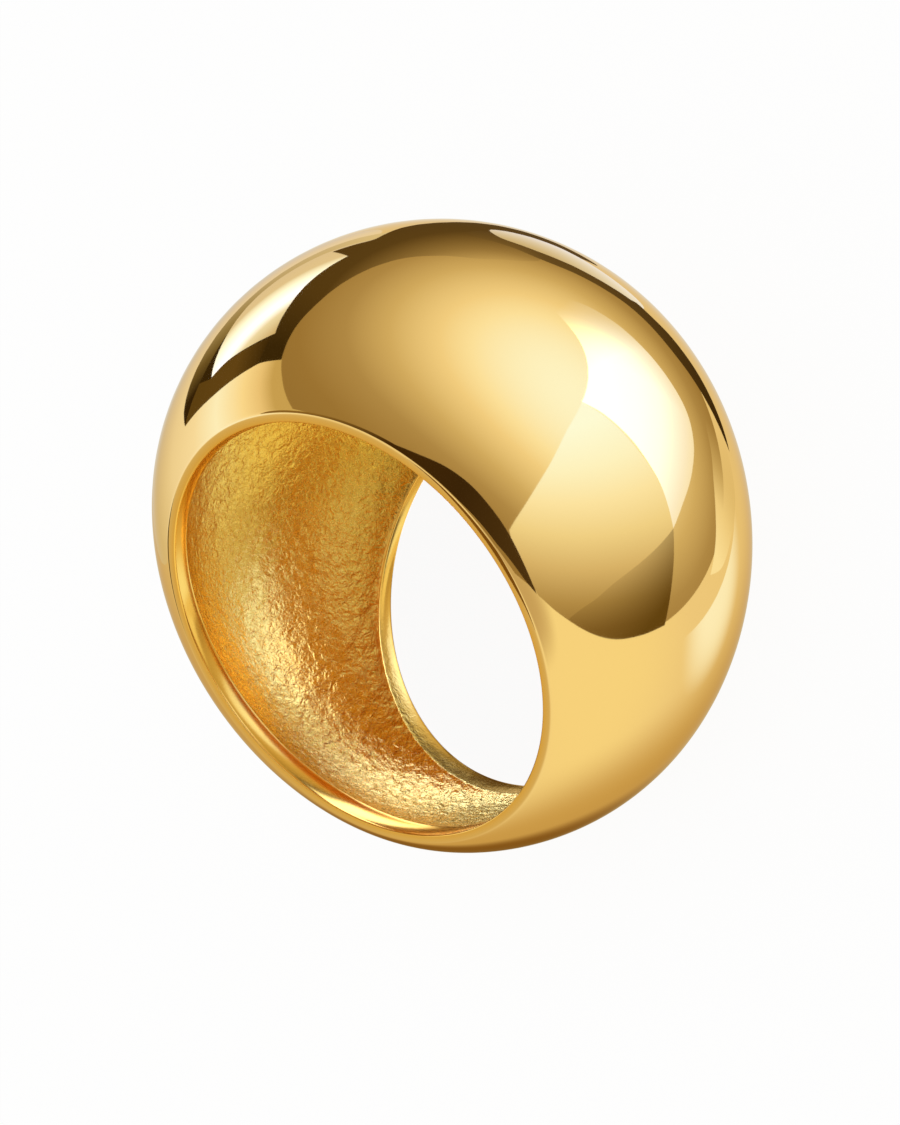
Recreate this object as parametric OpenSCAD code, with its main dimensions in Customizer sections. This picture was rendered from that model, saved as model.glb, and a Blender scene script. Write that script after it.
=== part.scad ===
// Dome ring: a one-piece hollow-backed band with a high round crown that narrows to its shank.
// It lies on one side. +Z is up, +X points to the crown and -X to the shank.
// The origin is under the middle of its box, on the surface that it lies on.
// Every section through the finger hole's axis is built alike, so the ring is one swept solid.

/* [Finger hole] */
// Diameter of the finger hole between the lips
finger_d = 17.3; // [15:0.1:20]

/* [Band] */
// Width over the two flat sides, at the crown end of the finger hole
dome_width = 18.4; // [14:0.1:20]
// Width over the two flat sides, at the shank end of the finger hole
shank_width = 7.7; // [6:0.1:10]
// Height of the crown's top over the finger hole
dome_height = 7.45; // [5:0.05:9]
// Height of the shank's outside over the finger hole
shank_height = 1.55; // [1.4:0.05:2.5]
// Width of the flat rim round each side
rim_width = 0.36; // [0.3:0.01:0.5]
// Angle that the outside turns through between its middle and a rim, at the crown
dome_turn = 78; // [70:1:84]
// The same angle at the shank
shank_turn = 63; // [50:1:75]

/* [Hollow back] */
// Width of the smooth lip inside each rim, at the crown
dome_lip = 0.5; // [0.4:0.05:1]
// Width of the same lip at the shank
shank_lip = 1.35; // [1:0.05:1.6]
// Wall behind the top of the crown
dome_wall = 1; // [0.8:0.05:1.5]
// Wall behind the middle of the shank
shank_wall = 1.15; // [1:0.05:1.2]

/* [Smoothness] */
// Sections round the finger hole
sections = 112; // [48:8:128]
// Steps across the outside of one section
outer_steps = 20; // [12:2:24]
// Steps across the hollow back of one section
hollow_steps = 16; // [10:2:20]

/* [Hidden] */
finger_r = finger_d / 2;
rim_r = finger_r + rim_width;
// The sides are flat. Each leans by this angle, so the band narrows evenly from crown to shank.
side_lean = atan((dome_width - shank_width) / 2 / finger_d);
// Half of the width between the sides, level with the axis of the finger hole
mid_half_width = (dome_width + shank_width) / 4;

// A size that changes smoothly from the crown, at 0 degrees, to the shank, at 180
function round_ring(at_dome, at_shank, turn) =
    (at_dome + at_shank) / 2 + (at_dome - at_shank) / 2 * cos(turn);

// Distance from the ring's middle plane to its flat side, at a radius from the finger's axis
function side_at(radius, turn) = mid_half_width + tan(side_lean) * radius * cos(turn);

// Points [along the axis, radius] of an elliptic arch over the finger hole, from one foot to the other
function arch(half_width, foot_r, top_r, bend, steps) =
    let (across = half_width / sin(bend), rise = (top_r - foot_r) / (1 - cos(bend)))
    [for (i = [0:steps]) let (a = bend * (2 * i / steps - 1))
        [across * sin(a), top_r - rise * (1 - cos(a))]];

// The outside of one section, from rim to rim
function outside(turn) = arch(side_at(rim_r, turn), rim_r,
    finger_r + round_ring(dome_height, shank_height, turn),
    round_ring(dome_turn, shank_turn, turn), outer_steps);

// The hollow back of one section, from lip to lip
function hollow(turn) = arch(
    side_at(finger_r, turn) - round_ring(dome_lip, shank_lip, turn), finger_r,
    finger_r + round_ring(dome_height - dome_wall, shank_height - shank_wall, turn),
    round_ring(dome_turn, shank_turn, turn), hollow_steps);

// One whole section: the outside, then back along the far lip, the hollow and the near lip
function section(turn) = let (back = hollow(turn), side = side_at(finger_r, turn)) concat(
    outside(turn), [[side, finger_r]],
    [for (i = [hollow_steps:-1:0]) back[i]], [[-side, finger_r]]);

// A section's point as the ring lies: the side that it leans on comes flat onto z = 0
function lying(point, turn) =
    let (up = point[1] * cos(turn), across = point[1] * sin(turn))
    [up * cos(side_lean) - point[0] * sin(side_lean), -across,
     up * sin(side_lean) + (point[0] + mid_half_width) * cos(side_lean)];

module ring() {
    points = [for (i = [0:sections - 1]) let (turn = 360 * i / sections)
        for (point = section(turn)) lying(point, turn)];
    lengthwise = [for (point = points) point[0]];
    per_section = len(points) / sections;
    faces = [for (i = [0:sections - 1], j = [0:per_section - 1])
        let (here = i * per_section, next = (i + 1) % sections * per_section, k = (j + 1) % per_section)
        each [[here + j, next + k, here + k], [here + j, next + j, next + k]]];
    color("gold")
        translate([-(min(lengthwise) + max(lengthwise)) / 2, 0, 0])
            polyhedron(points, faces);
}

ring();
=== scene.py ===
# %% [markdown]
# # A hollow-backed dome ring
#
# This lesson dresses one polished gold ring. Its solid was drawn in CAD and is loaded as a fixed frame.
# Blender makes the same shape again with rounder edges and a rough cast back, and gives it its metal.
# Polished metal shows little but the room round it, so half of the work is the small studio at the end.
# All sizes in the node trees are millimetres, as in the CAD source, and become metres in the last step.

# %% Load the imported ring
from math import cos, pi, radians, sin

import bmesh
import bpy
from mathutils import Matrix, Vector


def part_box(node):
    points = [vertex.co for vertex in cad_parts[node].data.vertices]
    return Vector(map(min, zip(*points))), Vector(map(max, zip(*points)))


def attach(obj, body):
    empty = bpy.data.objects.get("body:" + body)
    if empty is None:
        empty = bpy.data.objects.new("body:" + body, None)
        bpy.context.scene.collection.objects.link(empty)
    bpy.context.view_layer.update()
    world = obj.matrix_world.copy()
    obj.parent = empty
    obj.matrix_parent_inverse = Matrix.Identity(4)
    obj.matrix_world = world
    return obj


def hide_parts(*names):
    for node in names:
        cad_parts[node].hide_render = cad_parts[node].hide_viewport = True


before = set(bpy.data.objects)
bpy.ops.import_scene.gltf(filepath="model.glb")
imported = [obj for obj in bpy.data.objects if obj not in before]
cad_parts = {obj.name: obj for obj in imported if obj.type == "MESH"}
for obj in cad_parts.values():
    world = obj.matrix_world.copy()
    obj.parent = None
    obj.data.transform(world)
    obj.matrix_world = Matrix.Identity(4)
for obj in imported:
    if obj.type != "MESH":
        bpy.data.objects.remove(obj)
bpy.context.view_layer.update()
ring_low, ring_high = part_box("ring")
MM = 0.001
print("ring box, mm:", [round(side / MM, 2) for side in ring_high - ring_low])

# %% [markdown]
# ## The camera
#
# The ring was photographed standing on its slim shank, with the camera a little above it. A real ring
# left alone lies on one flat side, as this one does. So the camera keeps the photograph's angle to the
# ring and is rolled with it. It looks at a point inside the finger hole from 66.5 mm away. The clip
# distance is lowered because the camera is so close. A camera can be aimed with a Track To constraint,
# but three crossed vectors do the same, and the studio needs them again to hang its cards.

# %% Place the camera at the photograph's angle to the ring
LOOK_AT = Vector((-1.178, -1.135, 7.761)) * MM
DISTANCE = 66.535 * MM
AZIMUTH, ELEVATION, ROLL = radians(-13.24), radians(50.35), radians(-77.07)
PHOTO_HEIGHT, FOCAL_PIXELS = 1125, 1621.66

back = Vector((sin(AZIMUTH) * cos(ELEVATION), -cos(AZIMUTH) * cos(ELEVATION), sin(ELEVATION)))
level_right = Vector((0, 0, 1)).cross(back).normalized()
level_up = back.cross(level_right)
right = level_right * cos(ROLL) + level_up * sin(ROLL)
up = back.cross(right)

camera_data = bpy.data.cameras.new("camera")
camera_data.sensor_fit = "VERTICAL"
camera_data.sensor_height = 24
camera_data.lens = camera_data.sensor_height * FOCAL_PIXELS / PHOTO_HEIGHT
camera_data.clip_start, camera_data.clip_end = 0.005, 20
camera = bpy.data.objects.new("camera", camera_data)
turned = Matrix((right, up, back)).transposed().to_4x4()
camera.matrix_world = Matrix.Translation(LOOK_AT + back * DISTANCE) @ turned
bpy.context.scene.collection.objects.link(camera)
bpy.context.scene.camera = camera
print("camera at, mm:", [round(value / MM, 1) for value in camera.location])
print("lens, mm:", round(camera_data.lens, 2))

# %% [markdown]
# ## Sums on sockets
#
# Node trees are easier to read as sums than as boxes. `Wire` stands for one output socket. An
# expression such as `1 - mask` adds the Math node that works it out. Every other node comes from
# `Nodes.add`, which takes the node's type, its settings and what its sockets hold. Sockets are found by
# identifier or by name, because a Mix node has several sockets of the same name.

# %% A wire that adds Math nodes
class Wire:
    def __init__(self, nodes, socket):
        self.nodes = nodes
        self.socket = socket

    def math(self, operation, *others, first=None):
        values = (self, *others) if first is None else (first, self)
        return self.nodes.add("ShaderNodeMath", {"operation": operation}, dict(enumerate(values)))

    def held(self, low, high):
        return self.math("MAXIMUM", low).math("MINIMUM", high)

    def __add__(self, other):
        return self.math("ADD", other)

    def __radd__(self, other):
        return self.math("ADD", first=other)

    def __sub__(self, other):
        return self.math("SUBTRACT", other)

    def __rsub__(self, other):
        return self.math("SUBTRACT", first=other)

    def __mul__(self, other):
        return self.math("MULTIPLY", other)

    def __rmul__(self, other):
        return self.math("MULTIPLY", first=other)

    def __truediv__(self, other):
        return self.math("DIVIDE", other)

    def __rtruediv__(self, other):
        return self.math("DIVIDE", first=other)

    def __pow__(self, other):
        return self.math("POWER", other)

    def __gt__(self, other):
        return self.math("GREATER_THAN", other)

    def __lt__(self, other):
        return self.math("LESS_THAN", other)

    def __abs__(self):
        return self.math("ABSOLUTE")


print("Wire is ready")


# %% One way to add any other node
class Nodes:
    def __init__(self, tree):
        self.tree = tree

    def add(self, kind, settings=None, sockets=None, out=0):
        node = self.tree.nodes.new(kind)
        for name, value in (settings or {}).items():
            if name == "stops":
                set_stops(node.color_ramp, value)
            else:
                setattr(node, name, value)
        for key, value in (sockets or {}).items():
            socket = find_socket(node.inputs, key)
            if isinstance(value, Wire):
                self.tree.links.new(value.socket, socket)
            else:
                socket.default_value = value
        return Wire(self, find_socket(node.outputs, out)) if node.outputs else node


def find_socket(sockets, key):
    if isinstance(key, int):
        return sockets[key]
    return next(s for s in sockets if s.identifier == key or s.name == key and s.enabled)


def set_stops(ramp, stops):
    while len(ramp.elements) < len(stops):
        ramp.elements.new(1)
    for element, (position, colour) in zip(ramp.elements, stops):
        element.position = position
        element.color = colour


print("Nodes is ready")

# %% [markdown]
# ## The ring's shape
#
# The band widens and thickens evenly from the shank to the crown. It could be sculpted, or drawn as a
# profile that is swept along a circle, but a sweep keeps one profile and this one changes all the way
# round. The change follows a rule, so Geometry Nodes can make it: one grid is bent round into a ring.
# Each column of the grid is one section through the band. Going down a column, the rows run over the
# outside, down the rim, along the smooth lip, through the hollow back, and along the other lip and rim
# to where they began.
#
# The tree takes the sizes of the CAD source by the same names. Rows and columns are whole numbers, so
# half a row is a safe margin wherever two of them are compared.

# %% Start the tree, with its sizes as named inputs
SIZES = dict(finger_d=17.3, dome_width=18.4, shank_width=7.7, dome_height=7.45, shank_height=1.55,
             rim_width=0.36, dome_turn=78.0, shank_turn=63.0, dome_lip=0.5, shank_lip=1.35,
             dome_wall=1.0, shank_wall=1.15, edge_strip=0.16, lip_cove=0.045, cast_relief=0.035)
STEPS = dict(sections=480, outer_steps=48, lip_steps=6, hollow_steps=110)

ring_tree = bpy.data.node_groups.new("dome_ring", "GeometryNodeTree")
ring_tree.is_modifier = True
for name in SIZES:
    ring_tree.interface.new_socket(name, in_out="INPUT", socket_type="NodeSocketFloat")
for name in STEPS:
    ring_tree.interface.new_socket(name, in_out="INPUT", socket_type="NodeSocketInt")
ring_tree.interface.new_socket("Geometry", in_out="OUTPUT", socket_type="NodeSocketGeometry")

shape = Nodes(ring_tree)
given = ring_tree.nodes.new("NodeGroupInput")
size = {name: Wire(shape, given.outputs[name]) for name in (*SIZES, *STEPS)}
print("tree inputs:", len(size))

# %% Lay out the grid and number its columns and rows
outer_steps, lip_steps, hollow_steps = size["outer_steps"], size["lip_steps"], size["hollow_steps"]
all_rows = outer_steps + lip_steps * 2 + hollow_steps + 2
grid = shape.add("GeometryNodeMeshGrid", {}, {
    "Size X": size["sections"], "Size Y": all_rows,
    "Vertices X": size["sections"] + 1, "Vertices Y": all_rows + 1}, out="Mesh")
flat_place = shape.add("GeometryNodeInputPosition")


def axis_of(nodes, vector, axis):
    return nodes.add("ShaderNodeSeparateXYZ", {}, {0: vector}, out=axis)


column = axis_of(shape, flat_place, "X") + size["sections"] / 2
row = (axis_of(shape, flat_place, "Y") + all_rows / 2).math("ROUND").math("FLOORED_MODULO", all_rows)
turn = column * (2 * pi) / size["sections"]
to_crown = turn.math("COSINE")
print("sections round the ring:", STEPS["sections"])

# %% Say how the band changes round the ring
finger_r = size["finger_d"] / 2
rim_r = finger_r + size["rim_width"]
side_slope = (size["dome_width"] - size["shank_width"]) / 2 / size["finger_d"]
side_lean = side_slope.math("ARCTANGENT")
mid_half_width = (size["dome_width"] + size["shank_width"]) / 4


def round_ring(at_dome, at_shank):
    return (at_dome + at_shank) / 2 + (at_dome - at_shank) / 2 * to_crown


def side_at(radius):
    return mid_half_width + side_slope * radius * to_crown


bend = round_ring(size["dome_turn"], size["shank_turn"]) * (pi / 180)
outer_top = finger_r + round_ring(size["dome_height"], size["shank_height"])
hollow_top = finger_r + round_ring(size["dome_height"] - size["dome_wall"],
                                   size["shank_height"] - size["shank_wall"])
lip_start = side_at(finger_r)
lip_end = lip_start - round_ring(size["dome_lip"], size["shank_lip"])
print("nodes for the band's sizes:", len(ring_tree.nodes))


# %% [markdown]
# The outside and the hollow are elliptic arches. Even steps along an arch would leave wide faces beside
# its feet, and a rounded edge there would bend the mirror next to it. So the first and last rows of an
# arch are a strip of fixed width, `edge_strip`, and the rounding stays inside it.

# %% Bend a column's rows into an arch, with a narrow strip beside each edge
PAST_THE_ARCH = 1.0001


def arch(half_width, foot_r, top_r, index, steps):
    across = half_width / bend.math("SINE")
    rise = (top_r - foot_r) / (1 - bend.math("COSINE"))
    foot_speed = bend * ((across * bend.math("COSINE")) ** 2 + (rise * bend.math("SINE")) ** 2).math("SQRT")
    inner = (index - 1) / (steps - 2) * 2 - 1
    on_edge = abs(inner) > PAST_THE_ARCH
    share = inner.held(-1, 1) * (1 - size["edge_strip"] / foot_speed * (1 - on_edge))
    angle = bend * share
    along = across * angle.math("SINE")
    radius = top_r - rise * (1 - angle.math("COSINE"))
    from_edge = (1 - abs(share)) * foot_speed
    return along, radius, from_edge


outside_along, outside_radius, _ = arch(side_at(rim_r), rim_r, outer_top, row, outer_steps)
hollow_row = row - (outer_steps + lip_steps + 1)
hollow_along, hollow_radius, from_lip = arch(lip_end, finger_r, hollow_top,
                                             hollow_steps - hollow_row, hollow_steps)
print("nodes with both arches:", len(ring_tree.nodes))

# %% Cove the two lips, and choose each row's place in the section
lip_share = (-1 * hollow_row).math("MAXIMUM", hollow_row - hollow_steps) / lip_steps
lip_along = (lip_end + (lip_start - lip_end) * lip_share) * (1 - 2 * (hollow_row > 0))
lip_radius = finger_r + (lip_start - lip_end) * size["lip_cove"] * 4 * lip_share * (1 - lip_share)
in_hollow = (hollow_row > -0.5) * (hollow_row < hollow_steps + 0.5)
on_outside = row < outer_steps + 0.5


def choose(mask, off, on):
    return shape.add("GeometryNodeSwitch", {"input_type": "FLOAT"},
                     {"Switch": mask, "False": off, "True": on})


along = choose(in_hollow, choose(on_outside, lip_along, outside_along), hollow_along)
radius = choose(in_hollow, choose(on_outside, lip_radius, outside_radius), hollow_radius)
print("nodes with the lips:", len(ring_tree.nodes))

# %% Turn each section round the finger, and lean the ring onto its side
to_dome = radius * to_crown
lean_cos, lean_sin = side_lean.math("COSINE"), side_lean.math("SINE")
place = shape.add("ShaderNodeCombineXYZ", {}, {
    "X": (to_dome * lean_cos - along * lean_sin) * MM,
    "Y": radius * turn.math("SINE") * -MM,
    "Z": (to_dome * lean_sin + (along + mid_half_width) * lean_cos) * MM})
print("nodes with each point's place:", len(ring_tree.nodes))

# %% [markdown]
# ## Edges and the cast back
#
# Six edges run round the band, and a polished ring has no sharp one. A number on each edge tells the
# Bevel modifier which to round, so it leaves the smooth bends alone.

# %% Mark the edges that will be rounded
hollow_start = outer_steps + lip_steps + 1
corners = (0, outer_steps, outer_steps + 1, hollow_start, hollow_start + hollow_steps, all_rows - 1)
corner_row = 0
for corner in corners:
    corner_row = (abs(row - corner) < 0.5) + corner_row


def at_edge_end(end, value):
    index = shape.add("GeometryNodeInputMeshEdgeVertices", out=end)
    return shape.add("GeometryNodeFieldAtIndex", {"domain": "POINT", "data_type": "FLOAT"},
                     {"Index": index, "Value": value})


runs_round = abs(at_edge_end("Vertex Index 1", row) - at_edge_end("Vertex Index 2", row)) < 0.5
rounded = runs_round * at_edge_end("Vertex Index 1", corner_row)
print("edges to round:", len(corners))

# %% [markdown]
# The hollow back was never polished: it keeps the crumpled skin that it had when it came out of the
# mould. The skin fades out before the lips, which were polished. Only at the shank, by the side that the
# ring lies on, does it run on over the corner of the lip. A number called `cast` marks where the skin is
# rough, for the mesh here and for the metal later. A painted image could hold it too, but a number on
# each point needs no unwrapping. A second number, `satin`, marks the smooth part inside the
# rims, which is duller and also gets a deeper gold of painted shade.

# %% Mark the rough cast skin and the satin lips
SMOOTH_BY_LIP, FADE_WIDTH = 0.02, 0.3
SHANK_REACH = 1.6

at_shank = (to_crown * -SHANK_REACH).held(0, 1)
far_shank = (hollow_row > hollow_steps / 2) * at_shank
fade = ((from_lip - SMOOTH_BY_LIP) / FADE_WIDTH).math("MAXIMUM", far_shank).math("MINIMUM", 1)
on_far_lip = hollow_row > hollow_steps + 0.5
cast = in_hollow * fade * fade * (3 - 2 * fade) + on_far_lip * at_shank * (1 - lip_share)


def store(mesh, name, domain, value):
    return shape.add("GeometryNodeStoreNamedAttribute", {"data_type": "FLOAT", "domain": domain},
                     {"Geometry": mesh, "Name": name, "Value": value})


marked = store(grid, "bevel_weight_edge", "EDGE", rounded)
marked = store(marked, "cast", "POINT", cast)
marked = store(marked, "satin", "POINT", (row > outer_steps + 0.5) * (1 - cast))
print("numbers stored on the mesh: bevel_weight_edge, cast, satin")

# %% [markdown]
# Bending the grid lays its last column on its first, and its last row on its first, so points that lie
# together are merged. The bent faces look inwards, and Flip Faces turns them out.

# %% Close the band and centre it over the origin
bent = shape.add("GeometryNodeSetPosition", {}, {"Geometry": marked, "Position": place})
closed = shape.add("GeometryNodeMergeByDistance", {}, {"Geometry": bent, "Distance": 0.001 * MM})
lowest = shape.add("GeometryNodeBoundBox", {}, {"Geometry": closed}, out="Min")
highest = shape.add("GeometryNodeBoundBox", {}, {"Geometry": closed}, out="Max")
off_centre = (axis_of(shape, lowest, "X") + axis_of(shape, highest, "X")) / 2
slide = shape.add("ShaderNodeCombineXYZ", {}, {"X": off_centre * -1})
centred = shape.add("GeometryNodeSetPosition", {}, {"Geometry": closed, "Offset": slide})
outward = shape.add("GeometryNodeFlipFaces", {}, {"Mesh": centred})
print("nodes with the closed band:", len(ring_tree.nodes))

# %% [markdown]
# The skin has soft lumps and, between them, thin raised folds. Both are noise. Lumps are plain noise. A
# fold runs where another noise crosses its middle value, because there the distance from that value
# dips to nothing. Together they lift the skin by a few hundredths of a millimetre.


# %% Crumple the cast back
def noise(nodes, vector, scale, detail, roughness=0.5, distortion=0.0):
    return nodes.add("ShaderNodeTexNoise", {"noise_dimensions": "3D"}, {
        "Vector": vector, "Scale": scale, "Detail": detail,
        "Roughness": roughness, "Distortion": distortion})


def scaled(nodes, vector, factor):
    return nodes.add("ShaderNodeVectorMath", {"operation": "SCALE"}, {"Vector": vector, "Scale": factor})


FOLD_SHARPNESS, FOLD_SHARE = 4, 0.5
here = scaled(shape, shape.add("GeometryNodeInputPosition"), 1 / MM)
lumps = noise(shape, here, scale=1.5, detail=2.0, roughness=0.55, distortion=0.6) * 2 - 1
fold_distance = abs(noise(shape, here, scale=0.9, detail=1.0, distortion=1.2) * 2 - 1)
folds = (1 - fold_distance * FOLD_SHARPNESS).math("MAXIMUM", 0)
skin_mask = shape.add("GeometryNodeInputNamedAttribute", {"data_type": "FLOAT"}, {"Name": "cast"},
                      out="Attribute")
height = (lumps + folds * FOLD_SHARE) * skin_mask * size["cast_relief"] * MM
lift = scaled(shape, shape.add("GeometryNodeInputNormal"), height)
crumpled = shape.add("GeometryNodeSetPosition", {}, {"Geometry": outward, "Offset": lift})
print("relief of the skin, mm:", SIZES["cast_relief"])

# %% Finish the tree
gold = bpy.data.materials.new("polished_and_cast_gold")
smooth = shape.add("GeometryNodeSetShadeSmooth", {}, {"Geometry": crumpled})
real = shape.add("GeometryNodeRealizeInstances", {}, {"Geometry": smooth})
coated = shape.add("GeometryNodeSetMaterial", {}, {"Geometry": real, "Material": gold})
shape.add("NodeGroupOutput", {}, {"Geometry": coated})
print("nodes in the ring's tree:", len(ring_tree.nodes))

# %% [markdown]
# The tree runs as a modifier on an empty object, and the Bevel modifier comes after it. Their result is
# then kept as a plain mesh, because the export wants finished meshes. A closed ring has two faces at
# every edge and a volume above zero. A negative one would mean that its faces look inwards.

# %% Run the tree, round the edges and keep the result as a plain mesh
EDGE_ROUNDING = 0.07 * MM

ring = bpy.data.objects.new("dome_ring", bpy.data.meshes.new("dome_ring"))
bpy.context.scene.collection.objects.link(ring)
maker = ring.modifiers.new("shape", "NODES")
maker.node_group = ring_tree
for item in ring_tree.interface.items_tree:
    if item.in_out == "INPUT":
        maker[item.identifier] = {**SIZES, **STEPS}[item.name]
rounding = ring.modifiers.new("rounded_edges", "BEVEL")
rounding.limit_method = "WEIGHT"
rounding.width = EDGE_ROUNDING
rounding.segments = 3

evaluated = ring.evaluated_get(bpy.context.evaluated_depsgraph_get())
made = bpy.data.meshes.new_from_object(evaluated)
ring.modifiers.clear()
ring.data = made

# %% Measure the mesh
measure = bmesh.new()
measure.from_mesh(made)
open_edges = sum(len(edge.link_faces) != 2 for edge in measure.edges)
print("triangles:", sum(len(face.vertices) - 2 for face in made.polygons), "open edges:", open_edges)
print("volume, cubic mm:", round(measure.calc_volume(signed=True) / MM ** 3, 2))
measure.free()

# %% Tell the frame what the piece is
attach(ring, "root")
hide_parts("ring")
print("the ring rides root and replaces the packed node")

# %% [markdown]
# ## The metal
#
# The ring is one casting, so it has one material, and the two numbers on the mesh say where each finish
# is. Outside, the gold is a mirror with faint rubbing marks. On the lips it is a little duller, as wear
# leaves it. In the hollow it scatters light, and a Bump node adds a grain that is too fine for the mesh.
# Each finish has its own gold. The lips and the skin have deeper golds than the mirror: painted shade for
# light that has often struck gold twice there. The skin's painted shade is deepest under the crown.

# %% Read the two numbers, and make the marks
def blend(nodes, mask, off, on):
    return nodes.add("ShaderNodeMix", {"data_type": "RGBA"},
                     {"Factor_Float": mask, "A_Color": off, "B_Color": on}, out="Result_Color")


gold.use_nodes = True
gold.node_tree.nodes.clear()
metal = Nodes(gold.node_tree)
in_mm = scaled(metal, metal.add("ShaderNodeTexCoord", out="Object"), 1 / MM)
skin = metal.add("ShaderNodeAttribute", {"attribute_name": "cast"}, out="Fac")
satin = metal.add("ShaderNodeAttribute", {"attribute_name": "satin"}, out="Fac")
creases = abs(noise(metal, in_mm, scale=2.5, detail=3.0, roughness=0.55, distortion=0.5) * 2 - 1)
grain = noise(metal, in_mm, scale=7.0, detail=2.0, roughness=0.55, distortion=0.3)
rubbing = noise(metal, in_mm, scale=0.35, detail=2.0)
print("nodes for the marks:", len(gold.node_tree.nodes))

# %% Mix the colours of the gold, with painted shade on the lips and under the crown
POLISHED_GOLD = (0.93, 0.6, 0.21, 1)
# Painted shade: the lips and rims get a deeper gold that stands for light which has struck gold twice.
LIP_GOLD_WITH_PAINTED_SHADE = (0.93, 0.5, 0.08, 1)
CAST_GOLD = (0.93, 0.63, 0.15, 1)
# Painted shade: the skin's gold under the crown is deeper, for the shade deep in the hollow there.
CAST_GOLD_PAINTED_SHADE_UNDER_CROWN = (0.93, 0.54, 0.07, 1)
HALF_MIX_LENGTH = 6

along_ring = axis_of(metal, in_mm, "X")
# Painted shade: the skin's gold deepens along the ring from the shank to the crown.
shade_under_crown = ((along_ring + HALF_MIX_LENGTH) / (HALF_MIX_LENGTH * 2)).held(0, 1)
cast_colour_and_shade = blend(metal, shade_under_crown, CAST_GOLD, CAST_GOLD_PAINTED_SHADE_UNDER_CROWN)
colour = blend(metal, skin, blend(metal, satin, POLISHED_GOLD, LIP_GOLD_WITH_PAINTED_SHADE), cast_colour_and_shade)
print("polished gold:", POLISHED_GOLD[:3])

# %% Build the surface
EDGE_TINT = (0.86, 0.74, 0.56, 1)
rubbed = 0.025 + rubbing * 0.015
roughness = rubbed + satin * 0.13 + skin * (0.18 + grain * 0.12)
bump = metal.add("ShaderNodeBump", {}, {
    "Height": (creases + grain * 0.25) * skin, "Distance": 0.05 * MM, "Strength": 0.9})
surface = metal.add("ShaderNodeBsdfPrincipled", {}, {
    "Base Color": colour, "Metallic": 1.0, "Specular Tint": EDGE_TINT,
    "Roughness": roughness, "Normal": bump})
metal.add("ShaderNodeOutputMaterial", {}, {"Surface": surface})
print("nodes in the gold:", len(gold.node_tree.nodes))

# %% [markdown]
# ## The studio
#
# A photograph of a room could light the ring, but then nobody could move a lamp. So the studio is built:
# a room, and cards that hang in front of it. A card in a studio is chosen by what it does in the metal.
# Each colour below is the colour that the card should show when gold mirrors it, on the scale from 0 to
# 255, and `in_gold` works out the light that does that. A number over 255 is a card that is brighter
# than white, which still looks bright when rough gold spreads it. Directions are given as the
# photographer sees them: degrees to the right of the lens, then degrees up.

# %% Helpers for directions and for light seen in gold
def linear(channel):
    channel /= 255
    return channel / 12.92 if channel <= 0.04045 else ((channel + 0.055) / 1.055) ** 2.4


def in_gold(red, green, blue):
    return (*(linear(c) / share for c, share in zip((red, green, blue), POLISHED_GOLD)), 1)


def toward(turned_right, turned_up):
    a, e = radians(turned_right), radians(turned_up)
    return right * sin(a) * cos(e) + up * sin(e) + back * cos(a) * cos(e)


print("light for white in gold:", [round(value, 2) for value in in_gold(255, 255, 255)])


# %% Helpers for masks and ramps
def dot(nodes, vector, direction):
    return nodes.add("ShaderNodeVectorMath", {"operation": "DOT_PRODUCT"},
                     {0: vector, 1: tuple(direction)}, out="Value")


def ease(nodes, value, start, end):
    return nodes.add("ShaderNodeMapRange", {"interpolation_type": "SMOOTHSTEP"},
                     {"Value": value, "From Min": start, "From Max": end})


def ramp(nodes, share, stops):
    return nodes.add("ShaderNodeValToRGB", {"stops": [(at, in_gold(*seen)) for at, seen in stops]},
                     {"Fac": share}, out="Color")


print("the studio helpers are ready")

# %% [markdown]
# The room itself is a World shader. Above the edge of the floor there is one broad soft light, brightest
# to the upper right of the lens, on brown walls.

# %% The walls, and a mask for what lies near a direction
world = bpy.data.worlds.new("studio")
bpy.context.scene.world = world
world.use_nodes = True
world.node_tree.nodes.clear()
room = Nodes(world.node_tree)
looking = room.add("ShaderNodeTexCoord", out="Generated")


def near(direction, start, end):
    return ease(room, dot(room, looking, toward(*direction)), cos(radians(start)), cos(radians(end)))


BROAD_LIGHT = toward(35, 42)
wall = ramp(room, dot(room, looking, BROAD_LIGHT) * 0.5 + 0.5, [
    (0.0, (120, 86, 34)), (0.55, (156, 115, 49)), (0.675, (176, 136, 67)), (0.775, (209, 169, 92)),
    (0.875, (242, 204, 125)), (0.925, (252, 223, 151)), (1.0, (254, 242, 192))])
print("nodes for the walls:", len(world.node_tree.nodes))

# %% [markdown]
# The floor of the room is white and almost even. Three patches of it are darker, and so is the floor
# behind the ring, most of all round the ring's foot. On the right it glows under the softbox.

# %% The floor that the gold mirrors
white_floor = blend(room, near((18, -52), 66, 14), in_gold(238, 199, 120), in_gold(247, 209, 122))
for direction, start, end, shade in [((-98, -40), 30, 10, (212, 168, 86)),
                                     ((-33, -38), 18, 6, (200, 158, 86)),
                                     ((-116, -18), 11, 5, (70, 44, 10))]:
    white_floor = blend(room, near(direction, start, end), white_floor, in_gold(*shade))

foot_shade = blend(room, near((180, -30), 24, 6), in_gold(206, 157, 74), in_gold(140, 90, 24))
white_floor = blend(room, near((180, -38), 62, 22), white_floor, foot_shade)
glow_side = toward(85, -28).cross(toward(130, 10)).normalized()
glow = near((106, -9), 26, 6) * (dot(room, looking, glow_side) < 0)
white_floor = blend(room, glow, white_floor, in_gold(255, 236, 180))
print("nodes with the floor:", len(world.node_tree.nodes))

# %% Join the walls and the floor, and show plain white to the lens itself
FLOOR_NORMAL = (right * 0.16 + up * 0.75 + back * 0.63).normalized()
SEEN_WHITE = (0.985, 0.985, 0.985, 1)

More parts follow.
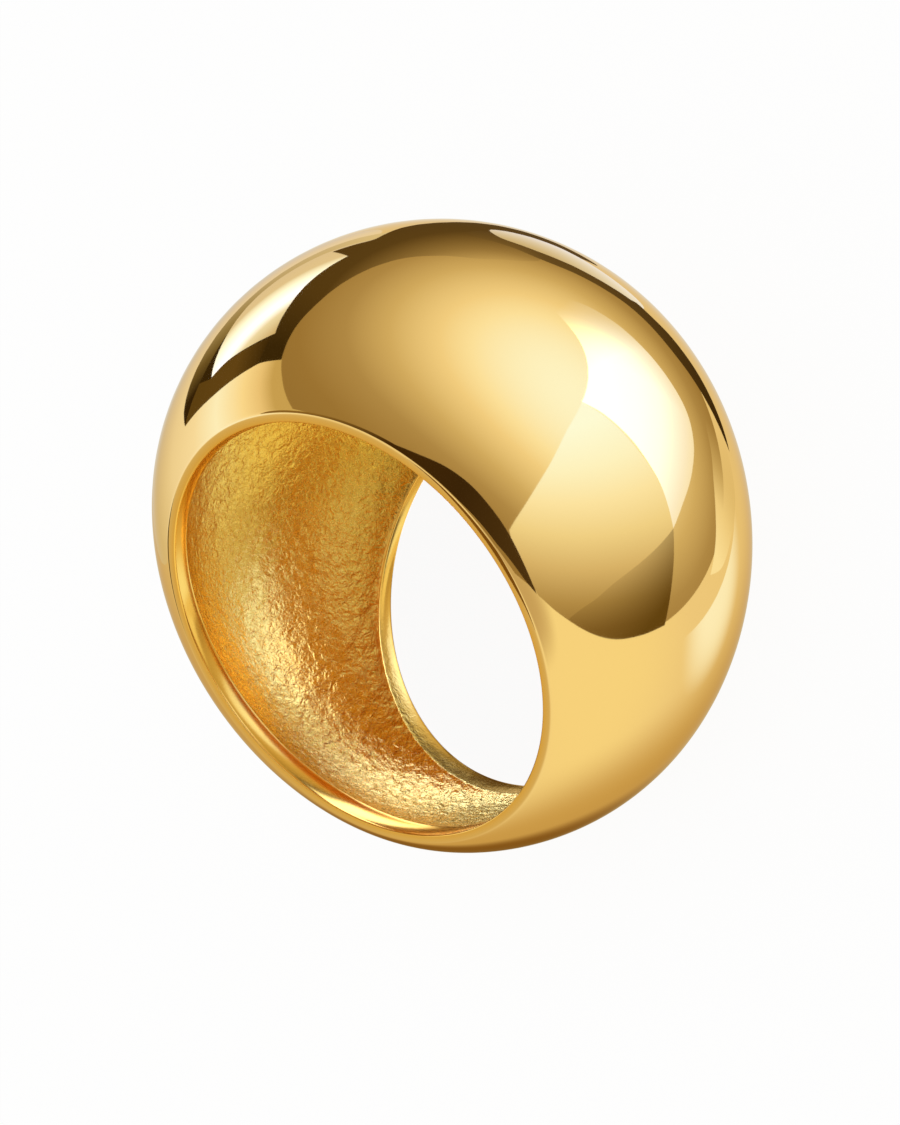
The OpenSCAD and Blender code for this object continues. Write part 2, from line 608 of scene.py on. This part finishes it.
over_floor = dot(room, looking, FLOOR_NORMAL) > 0
mirrored = blend(room, over_floor, white_floor, wall)
only_mirrored = room.add("ShaderNodeLightPath", out="Is Glossy Ray")
sky = room.add("ShaderNodeBackground", {}, {"Color": blend(room, only_mirrored, SEEN_WHITE, mirrored)})
room.add("ShaderNodeOutputWorld", {}, {"Surface": sky})
print("nodes in the room:", len(world.node_tree.nodes))

# %% [markdown]
# Cards hang in front of the room. A card is flat, so it is one face, and its outline is drawn through
# a few directions. A corner marked SHARP stays a corner, and the outline is rounded everywhere else: a
# cubic curve runs through each pair of corners and looks at the corners on both sides of the pair.

# %% Draw an outline that is rounded between its corners
SHARP = True
CURVE_STEPS = 6


def rounded_outline(corners):
    points = [Vector(corner[:2]) for corner in corners]
    sharp = [len(corner) > 2 for corner in corners]
    outline = []
    for i, start in enumerate(points):
        end = points[(i + 1) % len(points)]
        before = start if sharp[i] else points[i - 1]
        after = end if sharp[(i + 1) % len(points)] else points[(i + 2) % len(points)]
        for step in range(CURVE_STEPS):
            t = step / CURVE_STEPS
            outline.append(0.5 * (2 * start + (end - before) * t
                                  + (2 * before - 5 * start + 4 * end - after) * t ** 2
                                  + (3 * start - before - 3 * end + after) * t ** 3))
    return outline


print("points between two corners:", CURVE_STEPS)

# %% [markdown]
# A card's light runs through its stops from one direction to another, which `fade` names. A `veil` makes
# it clear towards its first direction, and a `dim` holds the ramp back there. Only mirrors see a card:
# the lens looks through it and it casts no shadow.

# %% Paint a card
DIM_LEFT_OVER = 0.3


def share_along(nodes, unit, start, end):
    first, last = toward(*start), toward(*end)
    axis = last - first
    return (dot(nodes, unit, axis) - axis.dot(first)) / (axis.dot(last) - axis.dot(first))


def card_paint(name, stops, fade, veil, dim):
    paint = bpy.data.materials.new(name)
    paint.use_nodes = True
    paint.node_tree.nodes.clear()
    nodes = Nodes(paint.node_tree)
    from_middle = nodes.add("ShaderNodeVectorMath", {"operation": "SUBTRACT"}, {
        0: nodes.add("ShaderNodeNewGeometry", out="Position"), 1: LOOK_AT})
    unit = nodes.add("ShaderNodeVectorMath", {"operation": "NORMALIZE"}, {0: from_middle})
    share = share_along(nodes, unit, *fade)
    if dim:
        share = share * nodes.add("ShaderNodeMapRange", {}, {
            "Value": share_along(nodes, unit, *dim), "To Min": DIM_LEFT_OVER})
    look = nodes.add("ShaderNodeEmission", {}, {"Color": ramp(nodes, share, stops), "Strength": 1.0})
    if veil:
        cover = nodes.add("ShaderNodeMapRange", {}, {"Value": share_along(nodes, unit, *veil)})
        clear = nodes.add("ShaderNodeBsdfTransparent")
        look = nodes.add("ShaderNodeMixShader", {}, {0: cover, 1: clear, 2: look})
    nodes.add("ShaderNodeOutputMaterial", {}, {"Surface": look})
    return paint


print("a dimmed card keeps", DIM_LEFT_OVER, "of its ramp at its dim end")


# %% Hang a card in given directions
def card(name, corners, stops, fade, distance=0.6, veil=None, dim=None):
    directions = [toward(*point) for point in rounded_outline(corners)]
    middle = sum(directions, Vector()).normalized()
    mesh = bpy.data.meshes.new(name)
    mesh.from_pydata([LOOK_AT + d * distance / d.dot(middle) for d in directions], [],
                     [range(len(directions))])
    mesh.materials.append(card_paint(name, stops, fade, veil, dim))
    hung = bpy.data.objects.new(name, mesh)
    bpy.context.scene.collection.objects.link(hung)
    hung.visible_camera = hung.visible_diffuse = hung.visible_shadow = False
    print("hung", name, "with", len(directions), "outline points")


# %% [markdown]
# In front of the ring hang four cards. The large panel makes the soft light across the dome, and its
# corner is dark. The softbox makes the brightest highlight. The black flag draws the dark line along
# the edge of the finger hole, which shows where the dome turns in.

# %% The large panel in front, and its dark corner
card("fading_panel", [(39, 38, SHARP), (24, 26), (8, 8), (-6, -8), (-17.3, -19.6, SHARP), (-19, -27),
                      (-17, -37, SHARP), (-6, -39.5), (14, -41), (35, -39), (54, -33.6), (69, -27, SHARP),
                      (69, -10), (70, 1, SHARP), (67, 12), (60, 22), (50, 32)],
     [(0.0, (146, 106, 44)), (0.12, (178, 138, 67)), (0.28, (216, 177, 102)), (0.45, (240, 207, 130)),
      (0.62, (252, 226, 158)), (0.8, (254, 241, 188)), (1.0, (254, 250, 210))],
     fade=((25, -38), (7, 22)))
card("panel_corner", [(70, 1, SHARP), (57, -7), (34, -21), (20, -30), (0, -40, SHARP), (18, -41), (36, -39),
                      (54, -33.6), (69, -27, SHARP), (69, -15)],
     [(0.0, (104, 71, 18)), (1.0, (98, 66, 15))],
     fade=((40, -10), (60, -30)), distance=0.59, veil=((22, -22), (40, -43.5)))

# %% The softbox
card("softbox", [(70, 1, SHARP), (79, 8.6), (92, 17), (100, 22), (107, 28), (110, 36), (112, 44), (114, 52),
                 (113, 62), (104, 69), (90, 70), (78, 65), (66, 56), (39, 38, SHARP), (48, 34.3), (57, 27),
                 (63, 19), (67, 12)],
     [(0.15, (249, 222, 160)), (0.3, (254, 235, 192)), (0.42, (265, 252, 214)), (0.55, (315, 288, 234)),
      (0.75, (410, 356, 248)), (1.0, (450, 380, 256))],
     fade=((95, 8), (62, 42)), distance=0.58, veil=((84, 68), (80, 50)), dim=((114, 52), (90, 40)))

# %% The black flag
card("black_flag", [(-82, 9), (-66, 8), (-52, 5), (-44, 2.6), (-37, -0.2), (-30, -3), (-24.5, -7),
                    (-20.8, -12.8), (-18.3, -19.6), (-17.5, -27), (-17.5, -36.8, SHARP), (-21, -34),
                    (-24.5, -28), (-29, -22.5), (-36, -19), (-50, -14), (-70, -8), (-82, -2)],
     [(0.0, (134, 94, 32)), (0.35, (62, 36, 5)), (0.7, (58, 35, 8)), (1.0, (74, 48, 14))],
     fade=((-64, 8), (-17, -26)), distance=0.57)

# %% [markdown]
# The rounded dome also mirrors what is behind the ring. At both sides that is bright floor. Over it
# hangs one long dark frame, with an edge and a branch, and two bright windows in front of it. They make
# the sharp shapes near the outline, and without them the dome would look like plastic.

# %% The bright floor at both sides
card("left_floor", [(-88.5, 31.4, SHARP), (-83, 25), (-77, 17), (-70, 9), (-60, -3), (-64, -14), (-100, -16),
                    (-140, -8), (-165, 8), (-172, 30), (-160, 44), (-120, 40, SHARP)],
     [(0.08, (200, 158, 78)), (0.15, (234, 192, 113)), (0.25, (250, 214, 136)), (0.43, (255, 238, 184)),
      (0.6, (250, 220, 156)), (0.8, (244, 213, 148)), (1.0, (224, 190, 118))],
     fade=((-84, 32), (-140, -4)), distance=1.6)
card("right_floor", [(97.5, -8, SHARP), (99.5, -4), (101.5, 1), (103.5, 7), (107, 13), (113, 18), (119, 22),
                     (127, 22), (133, 16), (128, 8), (118, 2), (108, -5)],
     [(0.0, (252, 222, 148)), (0.35, (242, 206, 128)), (0.7, (222, 184, 106)), (1.0, (208, 170, 94))],
     fade=((104, -4), (120, 22)), veil=((117, 25), (107, 8)))

# %% The long dark frame
card("dark_frame", [(-88.5, 31.5, SHARP), (-91, 35), (-98, 43.5), (-106, 52), (-118, 59), (-132, 64),
                    (-147, 67.5), (-165, 71), (-190, 72), (-205, 66), (-208, 58), (-202, 50),
                    (-196, 42, SHARP), (-196, 27), (-190, 24), (-185, 24.5), (-180, 31), (-174, 36),
                    (-168, 42), (-163, 45), (-157, 40.5), (-150, 34.5), (-140, 29.5), (-131, 21),
                    (-125, 10.5, SHARP), (-113.5, 17.3), (-105, 23.5), (-98, 28.7)],
     [(0.0, (56, 36, 6)), (0.4, (84, 57, 16)), (1.0, (96, 68, 25))],
     fade=((-120, 30), (-170, 66)), distance=0.62, veil=((150, 66), (-175, 50)))

# %% The frame's lit edge, its branch and its far end
card("frame_edge", [(-125, 10.5, SHARP), (-131, 22), (-140, 30), (-150, 35.5), (-157, 41), (-163, 45.5),
                    (-173, 44, SHARP), (-165, 36), (-158, 31), (-150, 25), (-142, 19), (-133, 14)],
     [(0.0, (52, 32, 6)), (0.2, (112, 85, 34)), (0.4, (158, 129, 68)), (0.65, (200, 170, 106)),
      (1.0, (228, 197, 128))],
     fade=((-127, 19), (-166, 43)), distance=0.63)
card("frame_branch", [(-125, 10.5, SHARP), (-113.5, 17.3), (-105, 23.5), (-98, 28.7, SHARP),
                      (-104, 37, SHARP), (-110, 33), (-118, 26), (-122, 21, SHARP), (-129, 19, SHARP)],
     [(0.0, (60, 38, 6)), (0.4, (98, 67, 19)), (1.0, (94, 65, 18))],
     fade=((-98, 31), (-120, 12)), distance=0.61)
card("frame_end", [(176, 51), (163, 54.5), (152, 54.5), (144, 47.5), (139.5, 39), (134, 32), (133, 24.5),
                   (134, 17), (135.5, 13, SHARP), (139, 15.5), (143.5, 20.5), (146.5, 26.5), (148, 31.5),
                   (155, 38), (164, 40), (175, 43)],
     [(0.0, (60, 38, 8)), (1.0, (106, 78, 34))],
     fade=((138, 16), (160, 54)), distance=0.61, veil=((180, 56), (158, 50)))

# %% The two windows
card("left_window", [(-121.6, 21.5, SHARP), (-118, 26.5), (-110, 33.5), (-104.3, 38.5, SHARP),
                     (-117, 44.6), (-131, 48.2), (-144, 50.2), (-154, 50.5), (-166, 47.5, SHARP),
                     (-161, 42), (-154, 36), (-147, 31), (-134, 26.8)],
     [(0.0, (206, 168, 100)), (0.3, (240, 218, 164)), (0.5, (300, 290, 280)), (0.72, (285, 275, 240)),
      (0.92, (252, 234, 184)), (1.0, (232, 202, 144))],
     fade=((-104, 40), (-140, 34)))
card("right_window", [(174, 38), (168, 32), (160, 31), (153, 29.3), (147.5, 32.5, SHARP), (149.5, 41.5),
                      (156.5, 47.7), (163, 49), (170, 47)],
     [(0.0, (254, 240, 204)), (1.0, (214, 184, 124))],
     fade=((160, 31), (160, 48)))

# %% [markdown]
# The far cards reach the hollow back only as an even glow. Three small cards hang close to the ring to
# shape the light there: a bright one behind the finger hole, and a dark one on each side of the ring.

# %% Three small cards close to the ring
card("card_behind", [(180, 8), (180, 24), (185, 38), (198, 34), (208, 19), (200, 2), (190, -6), (183, -3)],
     [(0.0, (370, 345, 290)), (1.0, (420, 390, 350))],
     fade=((180, -2), (180, 39)), distance=0.0145)
card("flag_behind", [(156, -14), (165, -2), (178, 0), (186, -6), (204, -17), (195, -27), (180, -31),
                     (165, -27)],
     [(0.0, (84, 56, 18)), (1.0, (84, 56, 18))],
     fade=((180, -31), (180, -6)), distance=0.0155, veil=((180, -31), (180, -18)))
card("flag_in_front", [(-27, 7, SHARP), (-18, 4, SHARP), (-3, -9, SHARP), (-3, -32, SHARP),
                       (-26, -30, SHARP)],
     [(0.0, (118, 72, 14)), (1.0, (118, 72, 14))],
     fade=((-20, -32), (-20, 5)), distance=0.0115)

# %% [markdown]
# ## The floor
#
# The floor is a plain white sheet. Most of its brightness is its own, like a lit table top, so it stays
# white inside the finger hole too. The rest is scattered light, and that part shows the soft shadow.
# The metal doesn't mirror it, because the room has a floor of its own for that. It lies a hair below
# the ring, so that the two never share a face.

# %% Make the white sheet
OWN_LIGHT = 0.93
SCATTERED = (0.062, 0.061, 0.059, 1)

sheet = bpy.data.materials.new("white_sheet")
sheet.use_nodes = True
sheet.node_tree.nodes.clear()
sheet_nodes = Nodes(sheet.node_tree)
own_light = sheet_nodes.add("ShaderNodeEmission", {}, {"Color": (1, 1, 1, 1), "Strength": OWN_LIGHT})
scatter = sheet_nodes.add("ShaderNodeBsdfDiffuse", {}, {"Color": SCATTERED})
both = sheet_nodes.add("ShaderNodeAddShader", {}, {0: own_light, 1: scatter})
sheet_nodes.add("ShaderNodeOutputMaterial", {}, {"Surface": both})
print("nodes in the sheet:", len(sheet.node_tree.nodes))

# %% Lay the floor
FLOOR_REACH = 3.0
FLOOR_GAP = 0.02 * MM

floor_mesh = bpy.data.meshes.new("floor")
floor_mesh.from_pydata([(x * FLOOR_REACH, y * FLOOR_REACH, -FLOOR_GAP)
                        for x, y in ((-1, -1), (1, -1), (1, 1), (-1, 1))], [], [(0, 1, 2, 3)])
floor_mesh.materials.append(sheet)
floor = bpy.data.objects.new("floor", floor_mesh)
bpy.context.scene.collection.objects.link(floor)
floor.visible_glossy = floor.visible_shadow = floor.visible_diffuse = False
print("floor, m across:", FLOOR_REACH * 2)

# %% [markdown]
# ## The last settings
#
# The Standard view shows each colour as it is lit. The usual one, made for film, would dull the golds.
# The box of the CAD model is printed when the model is loaded.

# %% Show colours as they are lit
bpy.context.scene.view_settings.view_transform = "Standard"
bpy.context.scene.view_settings.look = "None"
print("view:", bpy.context.scene.view_settings.view_transform)
